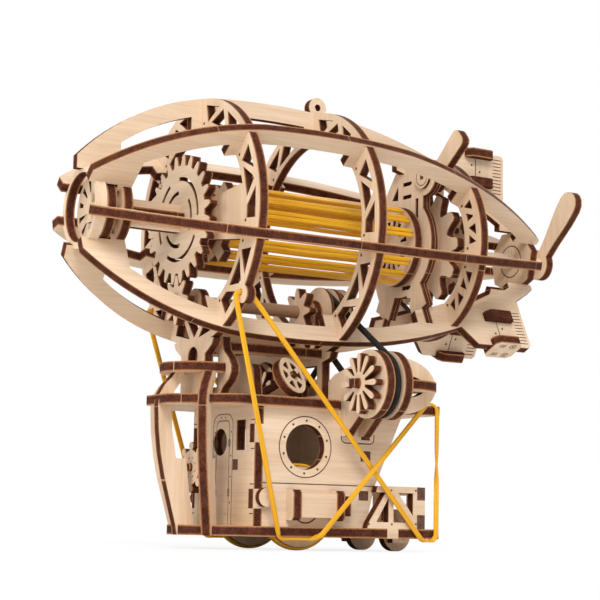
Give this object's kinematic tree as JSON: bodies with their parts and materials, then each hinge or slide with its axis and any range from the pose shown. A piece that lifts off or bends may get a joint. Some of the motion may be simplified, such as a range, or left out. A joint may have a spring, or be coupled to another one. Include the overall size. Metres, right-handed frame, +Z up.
{
  "type": "airship model",
  "caption": "Laser-cut plywood airship: ribbed envelope with a rubber-band motor, gears and propeller, belt-driven side engines and a wheeled gondola with rigging.",
  "frame": {"origin": "on the floor under the middle of the bounding box", "axes": "+X along the envelope from nose to propeller, +Z up, port side towards -Y"},
  "size_m": [0.1775, 0.0866, 0.1434],
  "materials": {
    "birch": "satin",
    "burnt_birch": "matte",
    "pale_birch": "satin",
    "yellow_rubber": "satin",
    "black_rubber": "matte"
  },
  "bodies": {
    "frame": {"rib_top": "birch", "rib_upper_port": "birch", "rib_port": "birch", "rib_lower_port": "birch", "rib_lower_starboard": "birch", "rib_starboard": "birch", "rib_upper_starboard": "birch", "nose_ring": "burnt_birch", "nose_bulkhead": "birch", "front_ring": "birch", "middle_ring": "birch", "rear_ring": "birch", "rear_bulkhead": "birch", "tail_plate": "birch", "tail_flaps": "birch", "fin_clips": "burnt_birch", "pylon_ends": "birch", "pylon_sides": "birch", "pylon_top": "burnt_birch", "canopy": "burnt_birch", "bow_frames": "birch", "roof": "birch", "deck": "birch", "front_wall": "birch", "side_walls": "birch", "rear_wall": "birch", "side_tanks": "birch", "rear_truss": "birch", "helm_post": "burnt_birch", "port_engine_bracket": "birch", "starboard_engine_bracket": "birch", "belts": "black_rubber", "rigging_bands": "yellow_rubber"},
    "front_drive": {"nose_winder": "birch", "front_shaft": "pale_birch", "front_gear": "birch", "front_band_holder": "burnt_birch", "motor_bands": "yellow_rubber"},
    "rear_drive": {"rear_band_holder": "burnt_birch", "rear_gear": "birch", "second_wheel": "birch", "propeller_shaft": "pale_birch", "propeller": "birch"},
    "lower_drive": {"drive_pinions": "birch", "drive_shaft": "pale_birch", "drive_pulley": "birch"},
    "port_engine": {"port_engine_fan": "birch", "port_engine_pulley": "birch"},
    "starboard_engine": {"starboard_engine_fan": "birch", "starboard_engine_pulley": "birch"},
    "lever": {"stop_lever": "birch"},
    "helm_wheel": {"helm": "burnt_birch"},
    "hand_wheel": {"handwheel": "burnt_birch"},
    "main_axle": {"main_wheels": "birch", "main_tyres": "yellow_rubber"},
    "roller_axle": {"rear_rollers": "pale_birch"}
  },
  "joints": [
    {"name": "front_spin", "type": "hinge", "parent": "frame", "child": "front_drive", "pos_m": [0, 0, 0.0985], "axis": [1, 0, 0], "continuous": true},
    {"name": "motor_twist", "type": "hinge", "parent": "front_drive", "child": "rear_drive", "pos_m": [0, 0, 0.0985], "axis": [1, 0, 0], "continuous": true, "deforming": ["motor_bands"]},
    {"name": "lower_spin", "type": "hinge", "parent": "frame", "child": "lower_drive", "pos_m": [0, 0, 0.07383], "axis": [1, 0, 0], "continuous": true},
    {"name": "port_engine_spin", "type": "hinge", "parent": "frame", "child": "port_engine", "pos_m": [0, -0.033, 0.0495], "axis": [1, 0, 0], "continuous": true},
    {"name": "starboard_engine_spin", "type": "hinge", "parent": "frame", "child": "starboard_engine", "pos_m": [0, 0.033, 0.0495], "axis": [1, 0, 0], "continuous": true},
    {"name": "lever_swing", "type": "hinge", "parent": "frame", "child": "lever", "pos_m": [0.03305, -0.0126, 0.1201], "axis": [1, 0, 0], "range_deg": [-20, 15]},
    {"name": "helm_spin", "type": "hinge", "parent": "frame", "child": "helm_wheel", "pos_m": [-0.04615, 0, 0.024], "axis": [1, 0, 0], "continuous": true},
    {"name": "handwheel_spin", "type": "hinge", "parent": "frame", "child": "hand_wheel", "pos_m": [-0.02235, -0.014, 0.0517], "axis": [0.3643, -0.8299, 0.4226], "continuous": true},
    {"name": "main_axle_spin", "type": "hinge", "parent": "frame", "child": "main_axle", "pos_m": [-0.01875, 0, 0.013], "axis": [0, 1, 0], "continuous": true},
    {"name": "roller_spin", "type": "hinge", "parent": "frame", "child": "roller_axle", "pos_m": [0.02025, 0, 0.005], "axis": [0, 1, 0], "continuous": true}
  ],
  "couplings": [
    {"joint": "lower_spin", "follows": "front_spin", "ratio": -3},
    {"joint": "port_engine_spin", "follows": "front_spin", "ratio": -2.2174},
    {"joint": "starboard_engine_spin", "follows": "front_spin", "ratio": -2.2174}
  ]
}
